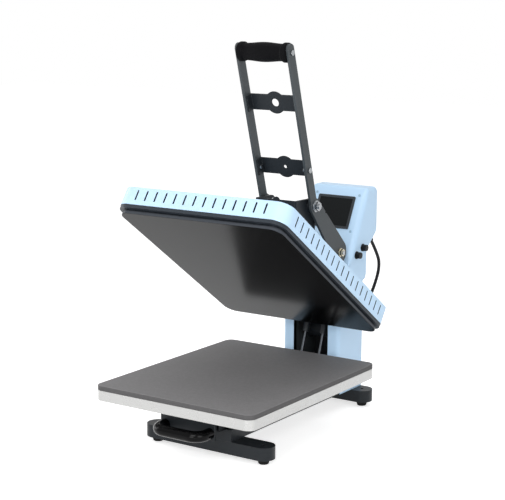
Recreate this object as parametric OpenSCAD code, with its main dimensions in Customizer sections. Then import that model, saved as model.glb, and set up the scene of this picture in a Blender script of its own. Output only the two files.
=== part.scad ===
// Slide-out clamshell heat press, shown open with its bed pushed in.
// Millimetres, +Z up, +Y to the back, origin on the floor under the middle of the press.

/* [Bed] */
// Width of the pressing bed
bed_w = 400; // [360:5:440]
// Depth of the pressing bed
bed_d = 500; // [460:5:540]
// Height of the mat's top above the floor
bed_top = 147; // [144:1:160]
// Thickness of the silicone mat
mat_t = 10.6; // [8:0.2:12]
// Thickness of the aluminium bed plate
plate_t = 22; // [18:1:24]
// Corner radius of the bed
bed_r = 18; // [8:1:28]
// Space between the bed and the column
bed_gap = 46; // [40:1:60]

/* [Base] */
// Height of the rubber feet
foot_h = 12; // [8:1:14]
// Diameter of a rubber foot at its top
foot_d = 28; // [20:1:36]
// Height of the foot bars
bar_h = 28; // [22:1:30]
// Depth of the foot bars
bar_d = 49; // [40:1:56]
// Distance between the front feet
front_feet = 276; // [220:2:320]
// Distance between the rear feet
rear_feet = 186; // [170:2:260]
// Front foot bar's centre behind the bed's front edge
front_bar_in = 139.5; // [100:0.5:180]
// Width of a base beam
beam_w = 40; // [36:1:44]
// Height of a base beam
beam_h = 26; // [20:1:28]

/* [Drawer] */
// Width of the drawer pull over its tube centres
pull_w = 114; // [90:2:120]
// Diameter of the drawer pull's tube
pull_d = 24; // [16:1:26]
// Finger space behind the drawer pull
pull_gap = 27; // [20:1:30]
// Drawer front's distance behind the bed's front edge
drawer_in = 60; // [50:1:70]

/* [Column] */
// Width of the column and of the head
column_w = 152; // [146:1:170]
// Depth of the column
column_d = 110; // [104:1:125]
// Width of a flange beside the opening in the column's front
flange_w = 29; // [26:1:32]
// Thickness of the column's sheet
sheet_t = 3; // [2:0.5:4]
// How far the column's upper half stands out at the back
neck_out = 14; // [8:1:18]
// How far the head stands out behind the column
head_over = 66; // [60:1:80]

/* [Platen] */
// Opening angle of the upper platen
open_angle = 34.8; // [30:0.2:36]
// Gap between heat plate and mat when closed
closed_gap = 0.5; // [0.3:0.1:2]
// Thickness of the heat plate's lower slab
heat_t = 6.5; // [5:0.5:8]
// Thickness of the heat plate's inset upper step
heat_step = 4; // [3:0.5:6]
// Thickness of the platen frame
frame_t = 7.3; // [5:0.1:9]
// Height of the platen cover
cover_h = 40.7; // [36:0.1:46]
// Corner radius of the platen cover
cover_r = 30; // [20:1:40]
// Cover's overhang past the bed at each side
cover_over = 11; // [8:1:14]
// Cover's overhang past the bed's front edge
cover_front = 15; // [12:1:18]
// Thickness of the cover's sheet
cover_t = 2; // [1.5:0.5:3]
// Distance between vent slots
vent_pitch = 25; // [20:1:40]
// Length of a vent slot
vent_l = 24; // [16:1:26]
// Width of a vent slot
vent_w = 4; // [2:0.5:6]

/* [Arm] */
// Arm pivot behind the column's front
pivot_in = 65; // [60:1:70]
// Arm pivot above the mat
pivot_up = 30.5; // [28:0.5:36]
// Thickness of the arm plates
arm_t = 6; // [4:0.5:6]
// Space between an arm plate and the column's opening
arm_gap = 5; // [4:0.5:7]
// Radius of the arm shaft
shaft_r = 10; // [8:0.5:11]
// Lift of the platen on its stud
lift = 6; // [3:0.5:6]
// Diameter of the pressure knob
knob_d = 58; // [50:1:60]

/* [Lever] */
// Lever pivot behind the column's front
lever_in = 14; // [8:1:20]
// Lever pivot above the mat
lever_up = 230; // [225:1:240]
// Elbow bolt's distance in front of the lever pivot
elbow_out = 112; // [105:1:118]
// Elbow bolt's height above the lever pivot
elbow_up = 121; // [116:1:130]
// Forward lean of the handle
lean = 16.57; // [10:0.5:20]
// Width of the handle's arms
arm_bar_w = 24; // [22:1:28]
// Thickness of the lever arms
lever_t = 6; // [4:0.5:7]
// Space between a lever arm and the column's wall
lever_gap = 4.35; // [4:0.05:6]
// Length of the handle's arms above the elbow bolt
handle_l = 377; // [340:1:420]
// Diameter of the grip at its middle
grip_d = 43; // [34:1:46]
// Thickness of the links
link_t = 6; // [4:0.5:7]

/* [Gas springs] */
// Thickness of the ears that hold a gas spring's foot
ear_t = 4.2; // [3:0.2:5]
// Diameter of a gas spring's cylinder
gas_d = 16; // [12:1:16]
// Diameter of a gas spring's rod
gas_rod_d = 6.5; // [6:0.5:8]
// Length of a gas spring's cylinder
gas_l = 84; // [76:1:90]

/* [Head] */
// Height of the head's front face along its slope
face_l = 197; // [190:1:204]
// Backward slope of the head's front face
face_tilt = 26.6; // [24:0.2:30]
// Width of the display bezel
display_w = 100; // [80:1:108]
// Height of the display bezel
display_h = 81; // [60:1:82]

/* [Hidden] */
$fn = 64;

// Colours
blue = "#b9dcf4";
dark = "#4a4d50";
black = "#1d1f21";
rubber = "#151515";
steel = "#c4c7ca";

// Clearances
run = 0.05;
slack = 0.3;

// Widths that follow the column's
wall_in = column_w / 2 - sheet_t;
column_open = column_w - 2 * flange_w;
arm_w = column_open - 2 * arm_gap;
lever_w = 2 * (wall_in - lever_gap);

// Levels of the base
bar_top = foot_h + bar_h;
beam_top = bar_top + beam_h;
plate_bottom = bed_top - mat_t - plate_t;

// Places from front to back
bed_front = -(bed_d + bed_gap + column_d + head_over) / 2;
bed_back = bed_front + bed_d;
bed_mid = bed_front + bed_d / 2;
column_front = bed_back + bed_gap;
column_rear = column_front + column_d;
head_rear = column_rear + head_over;
front_bar_y = bed_front + front_bar_in;
rear_bar_y = column_rear - bar_d / 2;

// Pivots in the side view, as [Y, Z]
arm_pivot = [column_front + pivot_in, bed_top + pivot_up];
lever_pivot = [column_front + lever_in, bed_top + lever_up];
elbow = lever_pivot + [-elbow_out, elbow_up];

// Levels of the closed platen
heat_z = bed_top + closed_gap;
frame_z = heat_z + heat_t + heat_step;
cover_z = frame_z + frame_t;
cover_top = cover_z + cover_h;
cover_w = bed_w + 2 * cover_over;
cover_rear = 8;
cover_d = bed_d + cover_front + cover_rear;
cover_mid = bed_mid + (cover_rear - cover_front) / 2;
heat_w = bed_w + 8;
heat_d = bed_d + 6;
heat_mid = bed_back - heat_d / 2;
mount_t = 5;
mount_top = cover_top + mount_t;
arm_base_t = 8;
arm_base_z = mount_top + lift + 1.5;
arm_base_l = 170;
arm_top_z = arm_base_z + arm_base_t;
stud_r = 8;
guide_r = 6;
guide_in = 62;
post_r = 8;
post_x = arm_w / 2 + 14;
post_y = 75;

// Pins of the closed arm, as [Y, Z]
link_pin_out = 226.8;
link_pin_up = 69.8;
gas_pin_out = 62.6;
gas_pin_up = 53.3;
link_pin_closed = arm_pivot + [-link_pin_out, link_pin_up];
gas_pin_closed = arm_pivot + [-gas_pin_out, gas_pin_up];
link_pin_r = 6;
gas_pin_r = 5;
link_slack = 2.6;
gas_slack = 1.9;
gas_eye_t = 9;
gas_x = wall_in - beam_w - ear_t - slack - gas_eye_t / 2;

// Turns a point of the side view about the arm's pivot into the open pose
function opened(p) = let (v = p - arm_pivot)
    arm_pivot + [v.x * cos(open_angle) + v.y * sin(open_angle), v.y * cos(open_angle) - v.x * sin(open_angle)];
link_pin = opened(link_pin_closed);
gas_pin = opened(gas_pin_closed);
gas_foot = [column_front - 23, plate_bottom - 52.4];
gas_angle = atan2(gas_pin.y - gas_foot.y, gas_pin.x - gas_foot.x);
gas_reach = norm(gas_pin - gas_foot);

// Sideways stack from the arm out to the column's walls
link_in = arm_w / 2 + 6;
link_out = link_in + link_t;
lever_in_x = lever_w / 2 - lever_t;
cheek_t = 6;
cheek_up = 140;
cheek_out = lever_in_x - 2.65;
elbow_r = 6;
lever_shaft_r = 7;
nut_stud_r = 5;

// Column's bends in the side view
knee_up = 95;
shoulder_up = 150;
knee = bed_top + knee_up;
shoulder = bed_top + shoulder_up;
shoulder_rise = 14;
shoulder_bend = 4;

// Rails beside the carriage
rail_gap = 0.4;
rail_t = 5;
rail_h = plate_bottom - 4.4 - beam_top;
rail_out = wall_in - 2;
rail_short = 98;
rail_in = 118;
rail_l = bed_d - rail_short;
rail_y = bed_front + rail_in;
carriage_t = 3;
carriage_x = rail_out - 3 * rail_t - 2 * rail_gap;
drawer_y = bed_front + drawer_in;
pull_z = bed_top - 76.5;

// Head's side view
face_in = 38;
face_up = 190;
face_foot = [column_front + face_in, bed_top + face_up];
face_top = face_foot + face_l * [sin(face_tilt), cos(face_tilt)];
seam_back = [column_rear + neck_out, face_foot.y + 32];
head_top = face_top.y + 2;
head_low = seam_back + [28, 20];
head_edge = 12;
display_s = face_l - 63.5;
panel_w = column_w - 2 * head_edge;
panel_h = display_h + 25;
panel_t = 3;
pocket_d = 38;
screw_in = 6;
screw_up = 4.5;
face_screw = [panel_w / 2 - screw_in, display_h / 2 + screw_up];

// Fuses, switch and cord on the head
fuse_at = [[column_rear - 5, face_foot.y + 39], [column_rear - 33, face_foot.y + 25]];
fuse_r = 7.5;
switch_back = 15;
switch_up = 113;
switch_at = [column_rear + switch_back, face_foot.y + switch_up];
switch_r = 12.4;
gland_x = column_w / 2 - 18;
gland_l = 22;
chamfer = [head_rear - head_low.x, 20];
gland_dir = [0, chamfer.y, -chamfer.x] / norm(chamfer);
gland_at = [gland_x, head_low.x + chamfer.x / 2, head_low.y + chamfer.y / 2];
gland_end = gland_at + gland_l * gland_dir;
cord_r = 4;
coil_r = 56;
coil_pitch = 10;
coil_turns = 1.75;
coil_at = [-75, head_rear + 44];
tie_t = 0.8;
tie_w = 5;
coil_z = cord_r + tie_t + slack;
coil_rise = 2 * cord_r + 0.6;
coil_start = [coil_at.x + 2 * cord_r, coil_at.y - coil_r, coil_z];
plug_run = 60;
cord_route = [
    gland_end, gland_end + 9 * gland_dir, [61, 383, 352], [62, 396, 328], [57, 405, 302], [46, 411, 270],
    [33, 413, 236], [22, 411, 200], [14, 406, 164], [9, 399, 128], [6, 390, 94], [3, 380, 62], [-3, 368, 34],
    [-14, 357, 14], [-32, 350, 6], [-54, coil_at.y - coil_r, coil_z], coil_start
];

// A shape of the side view, given thickness along X
module side_plate(x, t) {
    translate([x, 0, 0]) rotate([90, 0, 90]) linear_extrude(t) children();
}

// A round bar along X at a place of the side view
module bar_x(p, r, x, l) {
    translate([x, p.x, p.y]) rotate([0, 90, 0]) cylinder(r = r, h = l);
}

// The same thing on the left and on the right
module both_sides() {
    children();
    mirror([1, 0, 0]) children();
}

// What hangs on the arm, turned from closed to open
module opened_up() {
    translate([0, arm_pivot.x, arm_pivot.y]) rotate([-open_angle, 0, 0])
        translate([0, -arm_pivot.x, -arm_pivot.y]) children();
}

// Rectangle with round corners, centred
module round_rect(w, d, r) {
    square([w - 2 * r, d], center = true);
    square([w, d - 2 * r], center = true);
    for (x = [-1, 1], y = [-1, 1]) translate([x * (w / 2 - r), y * (d / 2 - r)]) circle(r);
}

// Two circles with straight flanks, which lie a hair inside the rims
module tapered(a, ra, b, rb) {
    v = b - a;
    turn = atan2(v.y, v.x);
    off = acos((ra - rb) / norm(v));
    function rim(c, r, s) = c + (r - run) * [cos(turn + s * off), sin(turn + s * off)];
    translate(a) circle(ra);
    translate(b) circle(rb);
    polygon([rim(a, ra, 1), rim(b, rb, 1), rim(b, rb, -1), rim(a, ra, -1)]);
}

// A tube swept along points, its rings square to the way it runs
function way(pts, i) = let (n = len(pts) - 1, d = pts[min(i + 1, n)] - pts[max(i - 1, 0)]) d / norm(d);
function ring(p, d, r, sides) = let (
        a = cross(d, abs(d.z) < 0.9 ? [0, 0, 1] : [1, 0, 0]),
        u = a / norm(a),
        v = cross(d, u)
    ) [for (k = [0:sides - 1]) p + r * (cos(360 * k / sides) * u + sin(360 * k / sides) * v)];
module sweep(pts, r, sides) {
    n = len(pts);
    points = [for (i = [0:n - 1]) each ring(pts[i], way(pts, i), r, sides)];
    walls = [for (i = [0:n - 2], k = [0:sides - 1]) let (
            a = i * sides + k, b = i * sides + (k + 1) % sides
        ) each [[a, b, b + sides], [a, b + sides, a + sides]]];
    last = (n - 1) * sides;
    caps = [for (k = [1:sides - 2]) each [[0, k + 1, k], [last, last + k, last + k + 1]]];
    polyhedron(points, concat(walls, caps));
}

// Base

module foot_bar(y, feet) {
    translate([0, y, foot_h]) linear_extrude(bar_h) difference() {
        round_rect(feet + bar_d, bar_d, bar_d / 2 - 0.01);
        for (x = [-1, 1]) translate([x * feet / 2, 0]) circle(4);
    }
}

module front_foot_bar() {
    color(black) foot_bar(front_bar_y, front_feet);
}

module rear_foot_bar() {
    color(black) foot_bar(rear_bar_y, rear_feet);
}

module rubber_foot() {
    rotate_extrude() polygon([
        [5, 0], [foot_d / 2 - 4, 0], [foot_d / 2 - 3, 1], [foot_d / 2, foot_h], [0, foot_h], [0, 5], [5, 5]
    ]);
    translate([0, 0, foot_h]) cylinder(r = 4 - run, h = bar_h - 4);
}

module rubber_feet() {
    color(rubber) both_sides() {
        translate([front_feet / 2, front_bar_y, 0]) rubber_foot();
        translate([rear_feet / 2, rear_bar_y, 0]) rubber_foot();
    }
}

module base_beams() {
    l = column_rear - sheet_t - front_bar_y + bar_d / 2;
    color(black) both_sides() translate([wall_in - beam_w, front_bar_y - bar_d / 2, bar_top]) difference() {
        cube([beam_w, l, beam_h]);
        translate([2.5, 2.5, 2.5]) cube([beam_w - 5, l, beam_h - 5]);
    }
}

module rail(x, y, l) {
    translate([x - rail_t, y, beam_top + 0.5]) difference() {
        cube([rail_t, l, rail_h - 1]);
        for (i = [1:4]) translate([-1, l * i / 5, rail_h / 2 - 0.5]) rotate([0, 90, 0])
            cylinder(r = 3, h = rail_t + 2);
    }
}

module outer_rails() {
    color(steel) both_sides() {
        rail(rail_out, rail_y, rail_l);
        translate([rail_out - rail_t, rail_y, beam_top]) cube([rail_t, rail_l, 1]);
    }
}

module middle_rails() {
    color(steel) both_sides() rail(rail_out - rail_t - rail_gap, rail_y + 6, rail_l - 12);
}

module inner_rails() {
    color(steel) both_sides() rail(rail_out - 2 * (rail_t + rail_gap), rail_y - 30, rail_l);
}

// Bed

module bed_plate() {
    skin = 9;
    rim = 9;
    color("#d9dadb") translate([0, bed_mid, plate_bottom]) difference() {
        linear_extrude(plate_t) round_rect(bed_w, bed_d, bed_r);
        translate([0, 0, -1]) linear_extrude(plate_t - skin + 1) difference() {
            square([bed_w - 2 * rim - 2 * bed_r, bed_d - 2 * rim - 2 * bed_r], center = true);
            for (x = [-1:1]) translate([x * bed_w / 4, 0]) square([8, bed_d], center = true);
            for (y = [-1:1]) translate([0, y * bed_d / 4]) square([bed_w, 8], center = true);
        }
    }
}

module bed_mat() {
    color("#6d6d70") translate([0, bed_mid, bed_top - mat_t]) linear_extrude(mat_t)
        round_rect(bed_w, bed_d, bed_r);
}

module carriage() {
    back = rail_y - 30 + rail_l;
    drop = plate_bottom - beam_top - 4;
    color(black) {
        translate([-carriage_x, drawer_y, plate_bottom - carriage_t])
            cube([2 * carriage_x, back - drawer_y, carriage_t]);
        both_sides() translate([carriage_x - carriage_t, drawer_y, plate_bottom - drop])
            cube([carriage_t, back - drawer_y, drop]);
        translate([-carriage_x - 14, drawer_y, pull_z - pull_d / 2 - 3])
            cube([2 * carriage_x + 28, carriage_t, plate_bottom - pull_z + pull_d / 2 + 3]);
    }
}

module drawer_pull() {
    r = pull_d / 2;
    bend = 24;
    y = drawer_y - pull_gap - r;
    half = pull_w / 2;
    color(black) translate([0, 0, pull_z]) {
        bar_x([y, 0], r, -half + bend, pull_w - 2 * bend);
        both_sides() {
            translate([half - bend, y + bend, 0]) rotate([0, 0, -90]) rotate_extrude(angle = 90)
                translate([bend, 0]) circle(r);
            translate([half, y + bend, 0]) rotate([-90, 0, 0]) cylinder(r = r, h = drawer_y - y - bend);
        }
    }
}

// Column

module column_plan() {
    r = 10;
    half = column_w / 2;
    translate([column_open / 2, column_front]) square([half - r - column_open / 2, sheet_t]);
    translate([half - sheet_t, column_front + r]) square([sheet_t, column_d - r - sheet_t]);
    intersection() {
        translate([half - r, column_front + r]) difference() {
            circle(r);
            circle(r - sheet_t);
        }
        translate([half - r, column_front]) square([r, r]);
    }
}

module column_side() {
    seam = (seam_back.y - face_foot.y) / (seam_back.x - face_foot.x);
    neck_rear = column_rear + neck_out;
    translate([0, 0, beam_top]) linear_extrude(knee - beam_top) column_plan();
    translate([0, 0, bar_top]) linear_extrude(beam_h) intersection() {
        column_plan();
        translate([wall_in, column_front + 10]) square([sheet_t, column_d]);
    }
    side_plate(wall_in, sheet_t) polygon([
        [column_front + 10, knee - 1], [face_foot.x, face_foot.y],
        [neck_rear, face_foot.y + seam * (neck_rear - face_foot.x)],
        [neck_rear, shoulder + shoulder_rise], [neck_rear - shoulder_bend, shoulder + shoulder_bend],
        [column_rear, shoulder], [column_rear - sheet_t, shoulder - shoulder_bend], [column_rear - sheet_t, knee - 1]
    ]);
}

module column_left_side() {
    color(blue) mirror([1, 0, 0]) column_side();
}

module column_right_side() {
    color(blue) column_side();
}

module column_back() {
    seam = (seam_back.y - face_foot.y) / (seam_back.x - face_foot.x);
    out = column_rear + neck_out;
    top = face_foot.y + seam * (out - sheet_t - face_foot.x);
    in = column_rear - sheet_t;
    color(blue) {
        translate([-column_w / 2, in, bar_top]) cube([column_w, sheet_t, shoulder - shoulder_bend - bar_top]);
        side_plate(-wall_in, 2 * wall_in) polygon([
            [in, shoulder - shoulder_bend - 2], [column_rear, shoulder - shoulder_bend - 2], [column_rear, shoulder],
            [out - shoulder_bend, shoulder + shoulder_bend], [out, shoulder + shoulder_rise], [out, top],
            [out - sheet_t, top], [out - sheet_t, shoulder + shoulder_rise + 1],
            [out - shoulder_bend - 2, shoulder + shoulder_bend + 4], [in, shoulder + sheet_t]
        ]);
    }
}

module frame_cheeks() {
    foot = [column_front + 32, column_rear - sheet_t];
    color(dark) both_sides() difference() {
        side_plate(cheek_out - cheek_t, cheek_t) {
            polygon([
                [foot[0], beam_top], [foot[1], beam_top], [foot[1], bed_top + cheek_up],
                [face_foot.x - 2, face_foot.y - 24], [lever_pivot.x + 14, lever_pivot.y - 16],
                [lever_pivot.x - 14, lever_pivot.y - 16], [foot[0] - 18, bed_top + 100], [foot[0], bed_top + 60]
            ]);
            translate(lever_pivot) circle(22);
        }
        bar_x(arm_pivot, shaft_r + run, cheek_out - cheek_t - 1, cheek_t + 2);
        bar_x(lever_pivot, lever_shaft_r + run, cheek_out - cheek_t - 1, cheek_t + 2);
    }
}

module arm_shaft() {
    color(steel) {
        bar_x(arm_pivot, shaft_r, -cheek_out - 4, 2 * cheek_out + 8);
        both_sides() bar_x(arm_pivot, shaft_r + 5, cheek_out, 4);
    }
}

module lever_shaft() {
    tip = lever_w / 2 + slack;
    color(steel) {
        bar_x(lever_pivot, lever_shaft_r, -tip, 2 * tip);
        bar_x(lever_pivot, nut_stud_r, -tip - 10, 2 * tip + 20);
        both_sides() bar_x(lever_pivot, lever_shaft_r + 6, cheek_out, lever_in_x - slack - cheek_out);
        bar_x(lever_pivot, lever_shaft_r + 4, -cheek_out + cheek_t, 2 * (cheek_out - cheek_t));
    }
}

module lever_nuts() {
    color("#d8c79a") both_sides() difference() {
        translate([lever_w / 2 + slack, lever_pivot.x, lever_pivot.y]) rotate([0, 90, 0]) {
            cylinder(r = nut_stud_r + 5, h = 2);
            translate([0, 0, 2]) cylinder(r = nut_stud_r + 4, h = 6, $fn = 6);
        }
        bar_x(lever_pivot, nut_stud_r + run, lever_w / 2, 12);
    }
}

// Gas springs

module gas_anchor() {
    ear_out = wall_in - beam_w;
    ear_in = ear_out - ear_t;
    anchor_l = 40;
    color(black) {
        both_sides() side_plate(ear_in, ear_out - ear_in) {
            translate(gas_foot) circle(9);
            polygon([
                gas_foot + [-8.5, 0], gas_foot + [8.5, 0], [gas_foot.x + anchor_l / 2 - 2, bar_top + 2],
                [gas_foot.x - anchor_l / 2 + 2, bar_top + 2]
            ]);
        }
        translate([-ear_out, gas_foot.x - anchor_l / 2, bar_top]) cube([2 * ear_out, anchor_l, 4]);
        bar_x(gas_foot, gas_pin_r, -ear_in - 1, 2 * ear_in + 2);
    }
}

// Along a gas spring, from its foot towards its top
module along_gas() {
    both_sides() translate([gas_x, gas_foot.x, gas_foot.y]) rotate([gas_angle - 90, 0, 0]) children();
}

module gas_rods() {
    eye = 8;
    held = 24;
    color(steel) along_gas() difference() {
        union() {
            rotate([0, 90, 0]) cylinder(r = eye, h = gas_eye_t, center = true);
            translate([0, 0, eye - 1.5]) cylinder(r = gas_rod_d / 2, h = gas_reach - gas_l + held - eye);
        }
        rotate([0, 90, 0]) cylinder(r = gas_pin_r + run, h = gas_eye_t + 2, center = true);
    }
}

module gas_cylinders() {
    eye = gas_pin_r + gas_slack + 3;
    color(black) along_gas() translate([0, 0, gas_reach]) difference() {
        union() {
            rotate([0, 90, 0]) cylinder(r = eye, h = 10, center = true);
            translate([0, 0, -gas_l]) cylinder(r = gas_d / 2, h = gas_l - eye + 1);
            translate([0, 0, -eye - 2]) cylinder(r = 4.5, h = 4);
        }
        rotate([0, 90, 0]) cylinder(r = gas_pin_r + gas_slack, h = 12, center = true);
        translate([0, 0, -gas_l - 1]) cylinder(r = gas_rod_d / 2 + run, h = gas_l - eye - 4);
    }
}

// Arm

module arm_outline() {
    front = bed_mid - arm_base_l / 2;
    back = bed_mid + arm_base_l / 2;
    low = arm_base_z + 1.5;
    cover_back = bed_back + cover_rear;
    polygon([
        [front, arm_top_z], [back, arm_top_z], [back + 6, low], [cover_back + 8, low],
        arm_pivot + [-19, -18], arm_pivot + [18, 19], gas_pin_closed + [9, 10], gas_pin_closed + [0, 14],
        link_pin_closed + [0, 14], link_pin_closed + [-62, 2], [front, arm_top_z + 14]
    ]);
    translate(arm_pivot) circle(26);
    translate(link_pin_closed) circle(14);
    translate(gas_pin_closed) circle(14);
}

module arm_plate() {
    opened_up() difference() {
        side_plate(arm_w / 2 - arm_t, arm_t) arm_outline();
        bar_x(arm_pivot, shaft_r + 3 + run, arm_w / 2 - arm_t - 1, arm_t + 2);
        bar_x(link_pin_closed, link_pin_r + run, arm_w / 2 - arm_t - 1, arm_t + 2);
        bar_x(gas_pin_closed, gas_pin_r + run, arm_w / 2 - arm_t - 1, arm_t + 2);
    }
}

module arm_left_plate() {
    color(black) mirror([1, 0, 0]) arm_plate();
}

module arm_right_plate() {
    color(black) arm_plate();
}

module arm_hub() {
    l = arm_w - 2 * arm_t;
    color(black) difference() {
        bar_x(arm_pivot, shaft_r + 10, -l / 2, l);
        bar_x(arm_pivot, shaft_r + 3 + run, -l, 2 * l);
    }
}

module arm_bushes() {
    color("#b08d57") both_sides() difference() {
        union() {
            bar_x(arm_pivot, shaft_r + 3, arm_w / 2 - 16, 16);
            bar_x(arm_pivot, shaft_r + 7, arm_w / 2, 2.5);
        }
        bar_x(arm_pivot, shaft_r + run, arm_w / 2 - 17, 22);
    }
}

module arm_base_plate() {
    color(black) opened_up() translate([0, bed_mid, arm_base_z]) difference() {
        linear_extrude(arm_base_t) round_rect(arm_w + 8, arm_base_l, 10);
        translate([0, 0, -1]) cylinder(r = stud_r + 4, h = arm_base_t + 2);
        for (y = [-1, 1]) translate([0, y * guide_in, -1]) cylinder(r = guide_r + run, h = arm_base_t + 2);
    }
}

module arm_pins() {
    color(steel) opened_up() {
        bar_x(link_pin_closed, link_pin_r, -link_out - 3, 2 * link_out + 6);
        both_sides() bar_x(link_pin_closed, link_pin_r + link_slack + 2.4, link_out + slack, 3);
        both_sides() bar_x(link_pin_closed, link_pin_r + 3, arm_w / 2, 4);
        bar_x(gas_pin_closed, gas_pin_r, -arm_w / 2 - 2, arm_w + 4);
        both_sides() bar_x(gas_pin_closed, gas_pin_r + 3, arm_w / 2, 2.5);
    }
}

// Platen, drawn closed and opened up

module vent(l, w, depth) {
    rotate([90, 0, 0]) linear_extrude(depth, center = true) {
        square([w, l - w], center = true);
        for (s = [-1, 1]) translate([0, s * (l - w) / 2]) circle(w / 2);
    }
}

module vent_rows() {
    z = cover_h / 2 + 2;
    front_n = floor((cover_w - 2 * cover_r - vent_w) / vent_pitch);
    side_n = floor((cover_d - 2 * cover_r - vent_w) / vent_pitch);
    for (i = [0:front_n - 1], s = [-1, 1])
        translate([(i - (front_n - 1) / 2) * vent_pitch, s * cover_d / 2, z]) vent(vent_l, vent_w, 3 * cover_t);
    for (i = [0:side_n - 1], s = [-1, 1])
        translate([s * cover_w / 2, (i - (side_n - 1) / 2) * vent_pitch, z]) rotate([0, 0, 90])
            vent(vent_l, vent_w, 3 * cover_t);
}

module post_places() {
    for (x = [-1, 1], y = [-1, 1]) translate([x * post_x, y * post_y, 0]) children();
}

module platen_cover() {
    color(blue) opened_up() translate([0, cover_mid, cover_z]) difference() {
        linear_extrude(cover_h) round_rect(cover_w, cover_d, cover_r);
        translate([0, 0, -1]) linear_extrude(cover_h - cover_t + 1)
            round_rect(cover_w - 2 * cover_t, cover_d - 2 * cover_t, cover_r - cover_t);
        vent_rows();
        translate([0, bed_mid - cover_mid, 0]) post_places() cylinder(r = 5, h = cover_h + 1);
    }
}

module platen_frame() {
    edge = cover_t / 2;
    rim = 40;
    color(dark) opened_up() translate([0, cover_mid, frame_z]) difference() {
        linear_extrude(frame_t) round_rect(cover_w - 2 * edge, cover_d - 2 * edge, cover_r - edge);
        translate([0, bed_mid - cover_mid, -1]) linear_extrude(frame_t + 2)
            round_rect(bed_w - rim, bed_d - rim, 12);
    }
}

module heat_plate() {
    inset = 6;
    color(black) opened_up() translate([0, heat_mid, heat_z]) {
        linear_extrude(heat_t) round_rect(heat_w, heat_d, cover_r - 4);
        translate([0, 0, heat_t]) linear_extrude(heat_step)
            round_rect(heat_w - 2 * inset, heat_d - 2 * inset, cover_r - 4 - inset);
    }
}

module heater_sheet() {
    color("#a8773d") opened_up() translate([0, bed_mid, frame_z]) linear_extrude(2) difference() {
        round_rect(bed_w - 44, bed_d - 44, 10);
        post_places() circle(post_r + 1);
    }
}

module insulation_board() {
    color("#e6dfc8") opened_up() translate([0, bed_mid, frame_z + 2]) linear_extrude(20) difference() {
        round_rect(bed_w - 44, bed_d - 44, 10);
        post_places() circle(post_r + 1);
    }
}

module spacer_posts() {
    color(steel) opened_up() translate([0, bed_mid, frame_z]) post_places() {
        cylinder(r = post_r, h = cover_top - cover_t - frame_z);
        cylinder(r = 4.8, h = mount_top - frame_z);
        translate([0, 0, mount_top - frame_z]) cylinder(r = 7.5, h = 4, $fn = 6);
    }
}

module platen_mount() {
    color(dark) opened_up() translate([0, bed_mid, cover_top]) {
        difference() {
            linear_extrude(mount_t) round_rect(2 * post_x + 30, 2 * post_y + 30, 12);
            post_places() translate([0, 0, -1]) cylinder(r = 5, h = mount_t + 2);
        }
        cylinder(r = stud_r, h = arm_top_z - cover_top + 22);
        for (y = [-1, 1]) translate([0, y * guide_in, 0]) cylinder(r = guide_r, h = arm_top_z - cover_top + 6);
    }
}

module pressure_knob() {
    h = 30;
    lobes = 8;
    color(rubber) opened_up() translate([0, bed_mid, arm_top_z + run]) difference() {
        union() {
            cylinder(r = knob_d / 2 - 8, h = 6);
            translate([0, 0, 6]) linear_extrude(h - 6) difference() {
                circle(knob_d / 2);
                for (i = [0:lobes - 1]) rotate(360 * i / lobes) translate([knob_d / 2 + 3, 0]) circle(6);
            }
            translate([0, 0, -arm_base_t]) cylinder(r = stud_r + 4 - slack, h = arm_base_t + 1);
        }
        translate([0, 0, -arm_base_t - 1]) cylinder(r = stud_r + run, h = arm_base_t + h - 1);
    }
}

// Lever and handle

// The handle's own frame: Y square to its front edge, Z along its arms from the elbow bolt
module handle_frame() {
    translate([0, elbow.x, elbow.y]) rotate([lean, 0, 0]) translate([0, -16, 0]) children();
}

grip_z = handle_l - 19.5;
grip_y = arm_bar_w / 2;
cross_z = [0.6677 * grip_z, 0.2448 * grip_z];
cross_t = 2.5;
cross_h = 37;
boss_r = 25.5;
bolt_r = 3;

module bolt_places() {
    for (z = [cross_z[1], grip_z]) translate([0, grip_y, z]) children();
}

// A point of the handle's frame in the side view
function on_handle(y, z) = elbow + [(y - 16) * cos(lean) - z * sin(lean), (y - 16) * sin(lean) + z * cos(lean)];

module lever_arm() {
    x = lever_in_x;
    top = handle_l - grip_y;
    low = -8;
    spare_hole = elbow + [45.8, -18.9];
    difference() {
        union() {
            side_plate(x, lever_t) tapered(elbow, 18, lever_pivot, 28);
            side_plate(x, lever_t) {
                polygon([
                    on_handle(0, low), on_handle(arm_bar_w, low), on_handle(arm_bar_w, top), on_handle(0, top)
                ]);
                translate(on_handle(grip_y, top)) circle(grip_y + run);
            }
        }
        bar_x(lever_pivot, lever_shaft_r + run, x - 1, lever_t + 2);
        bar_x(elbow, elbow_r + run, x - 1, lever_t + 2);
        handle_frame() bolt_places() rotate([0, 90, 0]) cylinder(r = bolt_r + run, h = lever_w);
        bar_x(spare_hole, 3.5, x - 1, lever_t + 2);
    }
}

module left_lever_arm() {
    color(dark) mirror([1, 0, 0]) lever_arm();
}

module right_lever_arm() {
    color(dark) lever_arm();
}

module cross_plate(z, hole_r, bolted) {
    half = lever_in_x;
    handle_frame() difference() {
        union() {
            translate([0, arm_bar_w, z]) rotate([90, 0, 0]) linear_extrude(cross_t) {
                square([2 * half, cross_h], center = true);
                circle(boss_r);
            }
            both_sides() translate([half - cross_t, 4, z - cross_h / 2]) cube([cross_t, arm_bar_w - 4, cross_h]);
        }
        translate([0, arm_bar_w + 1, z]) rotate([90, 0, 0]) cylinder(r = hole_r, h = cross_t + 2);
        if (bolted) translate([-half - 1, grip_y, z]) rotate([0, 90, 0])
            cylinder(r = bolt_r + run, h = 2 * half + 2);
    }
}

module upper_cross_plate() {
    color(dark) cross_plate(cross_z[0], 9, false);
}

module lower_cross_plate() {
    color(dark) cross_plate(cross_z[1], 4, true);
}

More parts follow.
